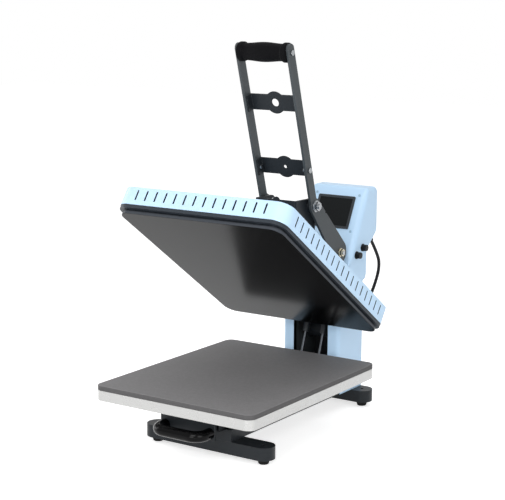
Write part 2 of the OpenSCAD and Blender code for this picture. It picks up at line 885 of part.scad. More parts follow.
// Grip's radius along its half length, from 0 at the middle to 1 at the end
grip_waist = 3;
grip_flare = 3;
grip_neck = 0.75;
function grip_radius(t) = grip_d / 2 - grip_waist * (1 - cos(180 * min(t / grip_neck, 1))) / 2
    + grip_flare * max(0, t - grip_neck) / (1 - grip_neck);

module handle_grip() {
    half = lever_in_x;
    steps = 16;
    color(rubber) handle_frame() translate([0, grip_y, grip_z]) rotate([0, 90, 0]) difference() {
        rotate_extrude() polygon(concat(
            [[0, -half]],
            [for (i = [-steps:steps]) [grip_radius(abs(i) / steps), half * i / steps]],
            [[0, half]]
        ));
        for (s = [-1, 1]) translate([0, 0, s * half]) cylinder(r = bolt_r + run, h = 41, center = true);
    }
}

module handle_bolts() {
    head = [6, 3.5];
    nut = [5.5, 5];
    held = 20;
    color(steel) handle_frame() both_sides() {
        bolt_places() translate([lever_w / 2, 0, 0]) rotate([0, 90, 0]) cylinder(r = head[0], h = head[1]);
        translate([lever_in_x - cross_t - nut[1], grip_y, cross_z[1]]) rotate([0, 90, 0]) {
            cylinder(r = bolt_r, h = lever_t + cross_t + nut[1]);
            cylinder(r = nut[0], h = nut[1], $fn = 6);
        }
        translate([lever_in_x - held, grip_y, grip_z]) rotate([0, 90, 0])
            cylinder(r = bolt_r, h = lever_t + held);
    }
}

module elbow_bolts() {
    washer_t = 2.3;
    color(steel) both_sides() {
        bar_x(elbow, elbow_r, link_in - 4, lever_w / 2 - link_in + 4);
        bar_x(elbow, elbow_r + 4, link_in - 4, 4 - slack);
        bar_x(elbow, elbow_r + 7, lever_w / 2, washer_t);
        translate([lever_w / 2 + washer_t, elbow.x, elbow.y]) rotate([0, 90, 0]) {
            cylinder(r = elbow_r + 5, h = 7, $fn = 6);
            cylinder(r = elbow_r, h = 10);
        }
    }
}

// Links

web_y = elbow.x - 56;
web_h = 32;
web_z = elbow.y + 0.3;
lug_r = 9;
lug_up = 6;

module toggle_links() {
    color(black) both_sides() difference() {
        union() {
            side_plate(link_in, link_t) {
                tapered(elbow, 16, link_pin, 15);
                polygon([
                    [web_y, web_z - web_h / 2], [web_y, web_z + web_h / 2], elbow + [0, 15.9],
                    elbow + [0, -60]
                ]);
            }
            bar_x(elbow, 13, link_in, lever_in_x - slack - link_in);
        }
        bar_x(elbow, elbow_r + run, link_in - 1, lever_w);
        bar_x(link_pin, link_pin_r + link_slack, link_in - 1, link_t + 2);
    }
}

module link_web() {
    color(dark) translate([0, web_y + cross_t, web_z]) rotate([90, 0, 0]) linear_extrude(cross_t) difference() {
        union() {
            square([2 * link_in, web_h], center = true);
            translate([0, web_h / 2 + lug_up - lug_r]) circle(lug_r);
        }
        circle(4);
    }
}

// Head

// The head's front face: Z up its slope from its foot, Y into the head
module face_frame() {
    translate([0, face_foot.x, face_foot.y]) rotate([-face_tilt, 0, 0]) children();
}

// The front panel's screws, pointing into the head
module screw_places() {
    for (x = [-1, 1], z = [-1, 1]) translate([x * face_screw.x, 0, display_s + z * face_screw.y])
        rotate([-90, 0, 0]) children();
}

// A point of the side view, up the face's slope and into the head
function on_face(s, d) = face_foot + s * [sin(face_tilt), cos(face_tilt)] + d * [cos(face_tilt), -sin(face_tilt)];

// The head's hollow, in front of its rear wall and above its floor
module head_hollow() {
    wall = 6;
    edge = 10;
    side_plate(-column_w / 2 + wall + 1, column_w - 2 * wall - 2) polygon([
        on_face(40, wall), on_face(face_l - edge - 2, wall + 2), [face_top.x + edge + 2, head_top - wall],
        [head_rear - wall - edge, head_top - wall], [head_rear - wall, head_top - wall - edge],
        [head_rear - wall, head_low.y + chamfer.y + 4], head_low + [0, wall + 2], seam_back + [-4, wall + 1]
    ]);
}

module head_outline() {
    r = 16;
    polygon([
        face_foot, seam_back, head_low, [head_rear, head_low.y + chamfer.y], [head_rear, head_top - r],
        [head_rear - r, head_top - r], [head_rear - r, head_top], [face_top.x + 8, head_top], face_top
    ]);
    translate([head_rear - r, head_top - r]) circle(r);
}

module head_casing() {
    deep = 2 * column_d + 2 * head_over;
    color(blue) difference() {
        intersection() {
            side_plate(-column_w, 2 * column_w) head_outline();
            face_frame() translate([0, deep / 2, -deep]) linear_extrude(2 * deep)
                round_rect(column_w, deep, head_edge);
        }
        both_sides() translate([column_w / 2, head_rear, head_top - face_l]) rotate([0, 0, 45])
            translate([-head_edge / 2, -head_edge / 2, 0]) cube([head_edge, head_edge, 2 * face_l]);
        face_frame() {
            translate([-panel_w / 2, -1, display_s - panel_h / 2]) cube([panel_w, panel_t + 1, panel_h]);
            translate([-panel_w / 2 + 6, 0, display_s - panel_h / 2 + 6])
                cube([panel_w - 12, pocket_d, panel_h - 12]);
        }
        head_hollow();
        face_frame() screw_places() cylinder(r = 1.5 + run, h = panel_t + 4);
        for (p = fuse_at) bar_x(p, 6 + run, column_w / 2 - 16, 20);
        translate([-column_w / 2 - 1, switch_at.x - 9, switch_at.y - 13.5]) cube([12, 18, 27]);
    }
}

module head_front_panel() {
    color(blue) face_frame() difference() {
        translate([-panel_w / 2 + run, 0, display_s - panel_h / 2 + run])
            cube([panel_w - 2 * run, panel_t, panel_h - 2 * run]);
        screw_places() translate([0, 0, -1]) cylinder(r = 1.5 + run, h = panel_t + 2);
    }
}

module display_bezel() {
    rim = 6;
    color(dark) face_frame() translate([0, 0, display_s]) rotate([90, 0, 0]) linear_extrude(2) difference() {
        round_rect(display_w, display_h, 3);
        square([display_w - 2 * rim, display_h - 2 * rim], center = true);
    }
}

module display_glass() {
    rim = 6;
    color(black) face_frame() translate([0, 0, display_s]) rotate([90, 0, 0]) linear_extrude(1.2)
        square([display_w - 2 * rim, display_h - 2 * rim], center = true);
}

module panel_screws() {
    color(blue) face_frame() screw_places() {
        translate([0, 0, -1]) cylinder(r = 3, h = 1);
        cylinder(r = 1.5, h = panel_t + 3);
    }
}

module control_board() {
    w = display_w - 14;
    h = display_h - 12;
    color("#2e6b46") face_frame() translate([0, panel_t, display_s]) {
        translate([-w / 2, 9, -h / 2]) cube([w, 1.8, h]);
        for (x = [-1, 1], z = [-1, 1]) translate([x * (w / 2 - 6), 0, z * (h / 2 - 6)]) rotate([-90, 0, 0])
            cylinder(r = 3, h = 9);
        translate([-24, 10.8, -18]) cube([26, 14, 20]);
        translate([14, 10.8, -22]) cube([20, 18, 30]);
        translate([-30, 10.8, 14]) cube([50, 9, 10]);
    }
}

module fuse_holders() {
    x = column_w / 2;
    color(black) for (p = fuse_at) difference() {
        union() {
            bar_x(p, 6, x - 16, 16);
            bar_x(p, fuse_r + 1.5, x, 2);
        }
        bar_x(p, 4 + run, x - 14, 17);
    }
}

module fuse_cap(p) {
    x = column_w / 2 + 2 + slack;
    grooves = 12;
    color(black) {
        translate([x, p.x, p.y]) rotate([0, 90, 0]) linear_extrude(10) difference() {
            circle(fuse_r);
            for (i = [0:grooves - 1]) rotate(360 * i / grooves) translate([fuse_r + 0.4, 0]) circle(1);
        }
        bar_x(p, 4, x - 12, 13);
    }
}

module upper_fuse_cap() {
    fuse_cap(fuse_at[0]);
}

module lower_fuse_cap() {
    fuse_cap(fuse_at[1]);
}

module switch_frame() {
    x = -column_w / 2;
    color(black) difference() {
        union() {
            translate([x - 1.5, switch_at.x - 11, switch_at.y - 15.5]) cube([1.5, 22, 31]);
            translate([x, switch_at.x - 9 + run, switch_at.y - 13.5 + run])
                cube([11 - run, 18 - 2 * run, 27 - 2 * run]);
        }
        translate([x - 3, switch_at.x - 7, switch_at.y - switch_r - slack])
            cube([12, 14, 2 * (switch_r + slack)]);
    }
}

module power_rocker() {
    x = -column_w / 2 + 3;
    color(rubber) difference() {
        intersection() {
            translate([x, switch_at.x - 7 + slack, switch_at.y]) rotate([-90, 0, 0])
                cylinder(r = switch_r, h = 14 - 2 * slack);
            translate([x, switch_at.x, switch_at.y]) rotate([0, 10, 0]) union() {
                translate([-4, -10, -20]) cube([6, 20, 40]);
                rotate([0, -10, 0]) translate([-6, -10, -3]) cube([6, 20, 6]);
            }
        }
        translate([x, switch_at.x - 10, switch_at.y]) rotate([-90, 0, 0]) cylinder(r = 1, h = 20);
    }
}

// Mains lead

module cord_gland() {
    turn = atan2(gland_dir.y, gland_dir.z);
    color(rubber) translate(gland_at) rotate([-turn, 0, 0]) {
        cylinder(r = 9, h = 4);
        translate([0, 0, 4]) cylinder(r1 = 7.5, r2 = 5.5, h = gland_l - 4);
    }
}

module power_cord() {
    color(rubber) sweep(cord_route, cord_r, 8);
}

// The coil's run: spirals in on the floor, climbs a layer in half a turn, spirals out and ends straight
coil_rings = 24;
coil_steps = coil_turns * coil_rings;
function coil_point(i) = let (
        out = i - coil_steps - coil_rings / 2,
        r = coil_r - coil_pitch * (i < coil_steps ? i : out < 0 ? coil_steps : coil_steps - out) / coil_rings,
        z = coil_z + coil_rise * min(max((i - coil_steps) / (coil_rings / 2), 0), 1),
        a = -90 - 360 * i / coil_rings
    ) [coil_at.x + r * cos(a), coil_at.y + r * sin(a), z];
coil_last = 2 * coil_steps + coil_rings / 2;
coil_end = [coil_at.x, coil_at.y - coil_r, coil_z + coil_rise];
coil_run = concat(
    [coil_start],
    [for (i = [0:coil_last]) coil_point(i)],
    [for (d = [20, 40, plug_run]) coil_end - [d, 0, 0]]
);

// Least distance between the tube and itself, among points more than half a loop apart
coil_gap = min([for (i = [0:len(coil_run) - 1], j = [0:len(coil_run) - 1])
    if (j > i + coil_rings / 2) norm(coil_run[i] - coil_run[j])]) - 2 * cord_r;
echo(coil_gap = coil_gap);

module cord_coil() {
    color(rubber) sweep(coil_run, cord_r, 6);
}

// A flat band round the coil's turns where they lie closest to the column's middle
module cord_tie() {
    inner = coil_r - coil_turns * coil_pitch - cord_r - slack;
    outer = coil_r + cord_r - slack;
    low = slack / 2;
    high = coil_z + coil_rise + cord_r + slack;
    color(rubber) translate([coil_at.x, coil_at.y - tie_w / 2, 0]) difference() {
        translate([inner - tie_t, 0, low]) cube([outer - inner + 2 * tie_t, tie_w, high - low + tie_t]);
        translate([inner, -1, low + tie_t]) cube([outer - inner, tie_w + 2, high - low - tie_t]);
    }
}

module power_plug() {
    r = coil_z + coil_rise - slack;
    neck = 16;
    body = 20;
    pin = [17, 1.6, 6];
    pin_gap = 12;
    color(rubber) translate(coil_end - [plug_run, 0, 0]) rotate([0, -90, 0]) {
        cylinder(r1 = cord_r + 2, r2 = r, h = neck);
        translate([0, 0, neck]) cylinder(r = r, h = body);
    }
    color(steel) translate(coil_end - [plug_run + neck + body, 0, 0]) for (s = [-1, 1])
        translate([-pin.x, s * pin_gap / 2 - pin.y / 2, -pin.z / 2]) cube(pin + [1, 0, 0]);
}

front_foot_bar();
rear_foot_bar();
rubber_feet();
base_beams();
outer_rails();
column_left_side();
column_right_side();
column_back();
frame_cheeks();
arm_shaft();
lever_shaft();
lever_nuts();
gas_anchor();
head_casing();
head_front_panel();
display_bezel();
display_glass();
panel_screws();
control_board();
fuse_holders();
switch_frame();
cord_gland();
power_cord();
cord_coil();
cord_tie();
power_plug();
arm_left_plate();
arm_right_plate();
arm_hub();
arm_bushes();
arm_base_plate();
arm_pins();
platen_cover();
insulation_board();
heater_sheet();
platen_frame();
heat_plate();
spacer_posts();
platen_mount();
pressure_knob();
left_lever_arm();
right_lever_arm();
upper_cross_plate();
lower_cross_plate();
handle_grip();
handle_bolts();
elbow_bolts();
toggle_links();
link_web();
gas_rods();
gas_cylinders();
bed_plate();
bed_mat();
carriage();
drawer_pull();
inner_rails();
middle_rails();
upper_fuse_cap();
lower_fuse_cap();
power_rocker();
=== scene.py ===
"""Looks of a slide-out heat press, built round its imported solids."""

import math

import bpy
import numpy as np
from bpy.props import FloatProperty, FloatVectorProperty, PointerProperty
from mathutils import Matrix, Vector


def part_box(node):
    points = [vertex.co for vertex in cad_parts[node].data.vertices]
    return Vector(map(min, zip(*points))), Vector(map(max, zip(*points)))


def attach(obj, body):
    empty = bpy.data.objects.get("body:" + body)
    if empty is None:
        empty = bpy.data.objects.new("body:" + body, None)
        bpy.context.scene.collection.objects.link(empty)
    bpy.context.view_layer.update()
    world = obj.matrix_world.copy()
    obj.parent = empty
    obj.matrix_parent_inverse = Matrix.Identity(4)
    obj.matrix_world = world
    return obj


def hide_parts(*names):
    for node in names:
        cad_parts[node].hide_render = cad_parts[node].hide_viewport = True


bl_info = {
    "name": "Heat Press Looks",
    "version": (1, 0, 0),
    "blender": (4, 5, 0),
    "location": "View3D > Sidebar > Heat Press",
    "description": "Dresses the solids of a slide-out heat press",
    "category": "Add Mesh",
}

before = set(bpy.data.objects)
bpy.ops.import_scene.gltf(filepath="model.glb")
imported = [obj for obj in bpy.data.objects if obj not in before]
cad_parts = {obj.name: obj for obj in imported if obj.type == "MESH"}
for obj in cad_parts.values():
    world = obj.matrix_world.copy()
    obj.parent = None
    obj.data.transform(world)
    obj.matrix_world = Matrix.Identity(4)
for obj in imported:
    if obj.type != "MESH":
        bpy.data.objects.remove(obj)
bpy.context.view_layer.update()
MM = 0.001

# The handle's elbow, its place in the handle's own frame, and how far the handle leans from plumb
ELBOW = np.array([0.0, 0.087, 0.498])
ELBOW_ON_HANDLE = np.array([0.0, 0.016, 0.0])
LEAN = math.radians(16.57)

# The arm's shaft, and how far the upper platen stands open about it
PIVOT = np.array([0.0, 0.250, 0.1775])
OPEN = math.radians(34.8)

# The camera: its place, its azimuth, elevation and roll in degrees, its focal length and the picture's width
CAMERA_AT = (1.68473, -2.57258, 0.95764)
CAMERA_TURN = (33.86, 10.20, 0.32)
FOCAL_PX, WIDTH_PX, SENSOR_MM = 1411.45, 505, 36

# Each lamp's place, the point that it faces, its power in watts and the length of its side
LAMPS = {
    "key": ((0.6, -2.8, 2.2), (0, 0, 0.3), 38, 1.6),
    "fill": ((1.9, -1.2, 0.85), (0, 0, 0.3), 17, 1.2),
    "low": ((0.4, -3.3, 0.6), (0, 0.2, 0.25), 22, 1.2),
    "side": ((-2.5, -0.6, 0.9), (0, 0, 0.2), 22, 1.6),
    "top": ((0.2, 0.5, 3.2), (0, 0, 0.3), 20, 2.4),
}

# The floor's paper and its glow, the world's light, and half the floor's width
WHITE = (1, 1, 1, 1)
PAPER = (0.82, 0.82, 0.82, 1)
PAPER_GLOW = 0.66
WORLD_LIGHT = 0.50
FLOOR_HALF = 9

# The mains lead in millimetres, from the gland down behind the column to the start of its coil
LEAD_ROUTE = (
    (61, 383, 352),
    (62, 396, 328),
    (57, 405, 302),
    (46, 411, 270),
    (33, 413, 236),
    (22, 411, 200),
    (14, 406, 164),
    (9, 399, 128),
    (6, 390, 94),
    (3, 380, 62),
    (-3, 368, 34),
    (-14, 357, 14),
    (-32, 350, 6),
    (-54, 349, 5.1),
    (-67, 349, 5.1),
    (-75, 349, 5.1),
)


def linear(code):
    """Linear red, green and blue of an sRGB hex colour."""
    s = np.array([int(code[i : i + 2], 16) for i in (1, 3, 5)]) / 255
    return tuple(np.where(s <= 0.04045, s / 12.92, ((s + 0.055) / 1.055) ** 2.4))


def shade(colour, k):
    """A colour made darker or lighter, with full alpha."""
    return tuple(min(1.0, c * k) for c in colour[:3]) + (1.0,)


def ease(t):
    """Smooth step from 0 to 1: t squared times 3 - 2t, with t held between 0 and 1."""
    t = np.clip(t, 0, 1)
    return t**2 * (3 - 2 * t)


# Surfaces


def turn_x(points, angle):
    """Points turned about the X axis: Y' = Y cos a - Z sin a, Z' = Y sin a + Z cos a."""
    c, s = math.cos(angle), math.sin(angle)
    return points @ np.array([[1, 0, 0], [0, c, s], [0, -s, c]])


def on_handle(points):
    """From the handle (Y square to its front edge, Z along its arms) to the part's frame."""
    return turn_x(points - ELBOW_ON_HANDLE, LEAN) + ELBOW


def corners_of(node):
    """A CAD node's lowest and highest corners at rest."""
    return (np.array(corner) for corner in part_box(node))


def skin(name, grid, finish, body, close_u=False, caps=False, sharp=40):
    """Mesh of a grid of points, with rows along u and rings along v.

    Either the last row joins the first, or caps close both ends.
    """
    rows, columns = grid.shape[:2]
    index = np.arange(rows * columns).reshape(rows, columns)
    lace = np.concatenate([index, index[:, :1]], 1)
    lace = np.concatenate([lace, lace[:1]], 0) if close_u else lace
    faces = np.stack([lace[:-1, :-1], lace[:-1, 1:], lace[1:, 1:], lace[1:, :-1]], -1).reshape(-1, 4).tolist()
    if caps:
        faces += [index[0, ::-1].tolist(), index[-1].tolist()]
    mesh = bpy.data.meshes.new(name)
    mesh.from_pydata(grid.reshape(-1, 3).tolist(), [], faces)
    mesh.shade_smooth()
    mesh.set_sharp_from_angle(angle=math.radians(sharp))
    mesh.materials.append(bpy.data.materials[finish])
    piece = bpy.data.objects.new(name, mesh)
    bpy.context.scene.collection.objects.link(piece)
    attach(piece, body)
    return piece


def rounded_outline(width, depth, radius, steps=10):
    """Rounded rectangle round the origin, anticlockwise: a quarter circle at each corner."""
    quarter = np.linspace(0, math.pi / 2, steps + 1)
    turns = np.concatenate([quarter + k * math.pi / 2 for k in range(4)])
    signs = np.repeat(np.array([[1, 1], [-1, 1], [-1, -1], [1, -1]]), steps + 1, 0)
    centres = signs * np.array([width / 2 - radius, depth / 2 - radius])
    return centres + radius * np.stack([np.cos(turns), np.sin(turns)], 1)


def run_along(points):
    """Length of a polyline up to each of its points."""
    return np.concatenate([[0], np.cumsum(np.linalg.norm(np.diff(points, axis=0), axis=1))])


def filleted(corners, radii, count, arc_points=17):
    """Closed outline with an arc of its own radius at each corner, sampled at even spacing."""
    corners = np.asarray(corners, float)
    points = []
    for k, radius in enumerate(radii):
        p, before, after = corners[k], corners[k - 1], corners[(k + 1) % len(corners)]
        u, v = ((q - p) / np.linalg.norm(q - p) for q in (before, after))
        half = math.acos(np.clip(u @ v, -1, 1)) / 2
        middle = p + (u + v) / np.linalg.norm(u + v) * radius / math.sin(half)
        first, last = (math.atan2(*(p + w * radius / math.tan(half) - middle)[::-1]) for w in (u, v))
        turn = (last - first + math.pi) % (2 * math.pi) - math.pi
        a = first + turn * np.linspace(0, 1, arc_points)
        points.append(middle + radius * np.stack([np.cos(a), np.sin(a)], 1))
    ring = np.concatenate([*points, points[0][:1]])
    run = run_along(ring)
    even = np.linspace(0, run[-1], count, endpoint=False)
    return np.stack([np.interp(even, run, ring[:, k]) for k in range(2)], 1)


def slab_grid(width, depth, radius, low, high, edge, steps=5):
    """Rows of a slab whose rims are quarter circles of radius e.

    Below, the outline is drawn in by e(1 - sin t) and raised by e(1 - cos t); above, drawn in by e(1 - cos t) and
    raised by e sin t.
    """
    t = np.linspace(0, math.pi / 2, steps + 1)
    inset = np.concatenate([edge * (1 - np.sin(t)), edge * (1 - np.cos(t))])
    level = np.concatenate([low + edge * (1 - np.cos(t)), high - edge + edge * np.sin(t)])
    rows = []
    for i, z in zip(inset, level):
        ring = rounded_outline(width - 2 * i, depth - 2 * i, radius - i)
        rows.append(np.column_stack([ring, np.full(len(ring), z)]))
    return np.array(rows)


def smooth_path(points, spacing, samples=4000):
    """Centripetal Catmull-Rom curve through the points, sampled at even spacing."""
    p = np.asarray(points, float)
    p = np.vstack([2 * p[0] - p[1], p, 2 * p[-1] - p[-2]])
    knots = np.concatenate([[0], np.cumsum(np.sqrt(np.linalg.norm(np.diff(p, axis=0), axis=1)))])
    t = np.linspace(knots[1], knots[-2], samples)
    i = np.clip(np.searchsorted(knots, t, side="right") - 1, 1, len(p) - 3)
    k0, k1, k2, k3 = (knots[i + d][:, None] for d in (-1, 0, 1, 2))
    p0, p1, p2, p3 = (p[i + d] for d in (-1, 0, 1, 2))
    t = t[:, None]
    a1 = (k1 - t) / (k1 - k0) * p0 + (t - k0) / (k1 - k0) * p1
    a2 = (k2 - t) / (k2 - k1) * p1 + (t - k1) / (k2 - k1) * p2
    a3 = (k3 - t) / (k3 - k2) * p2 + (t - k2) / (k3 - k2) * p3
    b1 = (k2 - t) / (k2 - k0) * a1 + (t - k0) / (k2 - k0) * a2
    b2 = (k3 - t) / (k3 - k1) * a2 + (t - k1) / (k3 - k1) * a3
    line = (k2 - t) / (k2 - k1) * b1 + (t - k1) / (k2 - k1) * b2
    run = run_along(line)
    even = np.linspace(0, run[-1], int(run[-1] / spacing) + 1)
    return np.stack([np.interp(even, run, line[:, k]) for k in range(3)], 1)


def coil_path(centre, wide, pitch, low, rise, turns, rings=48):
    """Two flat spirals, one on the other, wound clockwise seen from above, from the point nearest the front.

    The radius falls by the pitch each turn, stays while the lead climbs by the rise in half a turn, and grows again.
    """
    steps, climb = int(turns * rings), rings // 2
    i = np.arange(1, 2 * steps + climb + 1)
    out = i - steps - climb
    inward = np.where(i < steps, i, np.where(out < 0, steps, steps - out))
    r = wide - pitch * inward / rings
    z = low + rise * np.clip((i - steps) / climb, 0, 1)
    a = -math.pi / 2 - 2 * math.pi * i / rings
    return np.stack([centre[0] + r * np.cos(a), centre[1] + r * np.sin(a), z], 1)


def tube_grid(path, radius, sides=12):
    """Circle carried square to a path that is nowhere plumb; its first axis is the path's way crossed with up."""
    way = np.gradient(path, axis=0)
    way /= np.linalg.norm(way, axis=1)[:, None]
    side = np.cross(way, [0.0, 0.0, 1.0])
    side /= np.linalg.norm(side, axis=1)[:, None]
    rise = np.cross(way, side)
    a = np.linspace(0, 2 * math.pi, sides, endpoint=False)
    ring = np.cos(a)[:, None] * side[:, None, :] + np.sin(a)[:, None] * rise[:, None, :]
    return path[:, None, :] + radius * ring


# Materials


def fill(tree, node, inputs):
    """Links a node's inputs to sockets, or sets their values."""
    for key, value in inputs.items():
        if isinstance(value, bpy.types.NodeSocket):
            tree.links.new(value, node.inputs[key])
        else:
            node.inputs[key].default_value = value


def add(tree, kind, inputs=None, **settings):
    """Adds a node, sets it up and links or fills its inputs."""
    node = tree.nodes.new(kind)
    for key, value in settings.items():
        setattr(node, key, value)
    fill(tree, node, inputs or {})
    return node


def per(mm):
    """Scale of a pattern whose features are about so many millimetres apart."""
    return 1 / (mm * MM)


def tone(ramp, colour, *stops):
    """Sets a ramp's two stops: where each lies and how many times as light as the colour it is."""
    for stop, (position, k) in zip(ramp.color_ramp.elements, stops):
        stop.position = position
        stop.color = shade(colour, k)


def bare_tree(owner):
    """The cleared node tree of a material or a world."""
    owner.use_nodes = True
    owner.node_tree.nodes.clear()
    return owner.node_tree


def start(name):
    """An empty material: its tree, its shader, the Object coordinates and the normal."""
    tree = bare_tree(bpy.data.materials.new(name))
    shader = add(tree, "ShaderNodeBsdfPrincipled")
    add(tree, "ShaderNodeOutputMaterial", {"Surface": shader.outputs[0]})
    coordinates = add(tree, "ShaderNodeTexCoord").outputs
    return tree, shader, coordinates["Object"], coordinates["Normal"]


def powder_coat(name, colour, rough, worn, shine=0.5, shaded_hollow=None):
    """Powder-coated sheet steel, sprayed and baked: a fine orange peel, and edges rubbed a little lighter.

    Given a box's middle, half sizes, corner radius and turn about X, the faces within it are painted near black as
    painted shade: a point is within where the part of |p| past the corner's centre is shorter than the radius.
    """
    tree, shader, place, _ = start(name)
    peel = add(tree, "ShaderNodeTexNoise", {"Vector": place, "Scale": per(2.2), "Detail": 3.0})
    drift = add(tree, "ShaderNodeTexNoise", {"Vector": place, "Scale": per(90), "Detail": 2.0})
    soft = add(tree, "ShaderNodeBevel", {"Radius": 1.1 * MM}, samples=4)
    flat = add(tree, "ShaderNodeNewGeometry")
    turn = add(tree, "ShaderNodeVectorMath", {0: soft.outputs[0], 1: flat.outputs["Normal"]}, operation="DOT_PRODUCT")
    rim = add(tree, "ShaderNodeMapRange", {"Value": turn.outputs["Value"], "From Min": 0.995, "From Max": 0.80})
    rubbed = add(tree, "ShaderNodeMath", {0: rim.outputs[0], 1: worn}, operation="MULTIPLY")
    tint = add(tree, "ShaderNodeValToRGB", {"Fac": drift.outputs["Fac"]})
    tone(tint, colour, (0, 0.95), (1, 1.04))
    pale = shade([c * 0.6 + 0.35 for c in colour], 1)
    paint = add(
        tree,
        "ShaderNodeMix",
        {"Factor": rubbed.outputs[0], "A": tint.outputs[0], "B": pale},
        data_type="RGBA",
    )
    gloss = add(
        tree,
        "ShaderNodeMapRange",
        {"Value": peel.outputs["Fac"], "To Min": rough - 0.06, "To Max": rough + 0.06},
    )
    bump = add(
        tree,
        "ShaderNodeBump",
        {"Height": peel.outputs["Fac"], "Strength": 0.10, "Distance": 0.4 * MM, "Normal": soft.outputs[0]},
    )
    # Faces within the box get a near-black painted shade
    if shaded_hollow:
        middle, half, radius, turned = shaded_hollow
        # Heights count a hundredfold, so the hollow's roof is sharp
        steep = 100
        local = add(
            tree,
            "ShaderNodeMapping",
            {"Vector": place, "Location": middle, "Rotation": (turned, 0, 0), "Scale": (1, 1, 1 / steep)},
            vector_type="TEXTURE",
        )
        away = add(tree, "ShaderNodeVectorMath", {0: local.outputs[0]}, operation="ABSOLUTE")
        centre = (half[0] - radius, half[1] - radius, half[2] * steep)
        past = add(tree, "ShaderNodeVectorMath", {0: away.outputs[0], 1: centre}, operation="SUBTRACT")
        past = add(tree, "ShaderNodeVectorMath", {0: past.outputs[0], 1: (0, 0, 0)}, operation="MAXIMUM")
        past = add(tree, "ShaderNodeVectorMath", {0: past.outputs[0]}, operation="LENGTH")
        in_painted_shade = add(tree, "ShaderNodeMath", {0: past.outputs["Value"], 1: radius}, operation="LESS_THAN")
        painted_shade_colour = shade(linear("#17191b"), 1)
        paint = add(
            tree,
            "ShaderNodeMix",
            {"Factor": in_painted_shade.outputs[0], "A": paint.outputs["Result"], "B": painted_shade_colour},
            data_type="RGBA",
        )
    fill(
        tree,
        shader,
        {
            "Base Color": paint.outputs["Result"],
            "Roughness": gloss.outputs[0],
            "Normal": bump.outputs[0],
            "IOR": 1.5,
            "Specular IOR Level": shine,
        },
    )


def brushed_metal(name, colour, rough, along, lay_mm, streak=0.1):
    """Bare metal with a drawn or milled lay: streaks along the named axes that are far finer across them.

    A real lay is about a tenth of a millimetre wide, so it is drawn some ten times coarser to show.
    """
    tree, shader, place, _ = start(name)
    stretch = [per(60) if axis in along else per(lay_mm) for axis in "xyz"]
    scaled = add(tree, "ShaderNodeMapping", {"Vector": place, "Scale": stretch})
    lay = add(tree, "ShaderNodeTexNoise", {"Vector": scaled.outputs[0], "Scale": 1.0, "Detail": 4.0})
    cloud = add(tree, "ShaderNodeTexNoise", {"Vector": place, "Scale": per(40), "Detail": 2.0})
    soft = add(tree, "ShaderNodeBevel", {"Radius": 0.8 * MM}, samples=4)
    tint = add(tree, "ShaderNodeValToRGB", {"Fac": lay.outputs["Fac"]})
    tone(tint, colour, (0.3, 1 - streak), (0.7, 1 + streak / 2))
    gloss = add(
        tree, "ShaderNodeMapRange", {"Value": cloud.outputs["Fac"], "To Min": rough - 0.05, "To Max": rough + 0.08}
    )
    bump = add(
        tree,
        "ShaderNodeBump",
        {"Height": lay.outputs["Fac"], "Strength": 0.12, "Distance": 0.3 * MM, "Normal": soft.outputs[0]},
    )
    fill(
        tree,
        shader,
        {"Base Color": tint.outputs[0], "Roughness": gloss.outputs[0], "Normal": bump.outputs[0], "Metallic": 1.0},
    )


def moulded(name, colour, rough, grain_mm, depth, shine=0.18):
    """Moulded plastic or rubber: the tool's fine spark grain, a faint drift in tone and soft edges.

    A real grain is about a tenth of a millimetre wide, so it is drawn some ten times coarser to show.
    """
    tree, shader, place, _ = start(name)
    grain = add(tree, "ShaderNodeTexVoronoi", {"Vector": place, "Scale": per(grain_mm)})
    drift = add(tree, "ShaderNodeTexNoise", {"Vector": place, "Scale": per(30), "Detail": 3.0})
    soft = add(tree, "ShaderNodeBevel", {"Radius": 0.8 * MM}, samples=4)
    tint = add(tree, "ShaderNodeValToRGB", {"Fac": drift.outputs["Fac"]})
    tone(tint, colour, (0.35, 0.88), (0.65, 1.12))
    gloss = add(
        tree, "ShaderNodeMapRange", {"Value": drift.outputs["Fac"], "To Min": rough - 0.04, "To Max": rough + 0.05}
    )
    bump = add(
        tree,
        "ShaderNodeBump",
        {"Height": grain.outputs["Distance"], "Strength": depth, "Distance": 0.4 * MM, "Normal": soft.outputs[0]},
    )
    fill(
        tree,
        shader,
        {
            "Base Color": tint.outputs[0],
            "Roughness": gloss.outputs[0],
            "Normal": bump.outputs[0],
            "IOR": 1.5,
            "Specular IOR Level": shine,
        },
    )


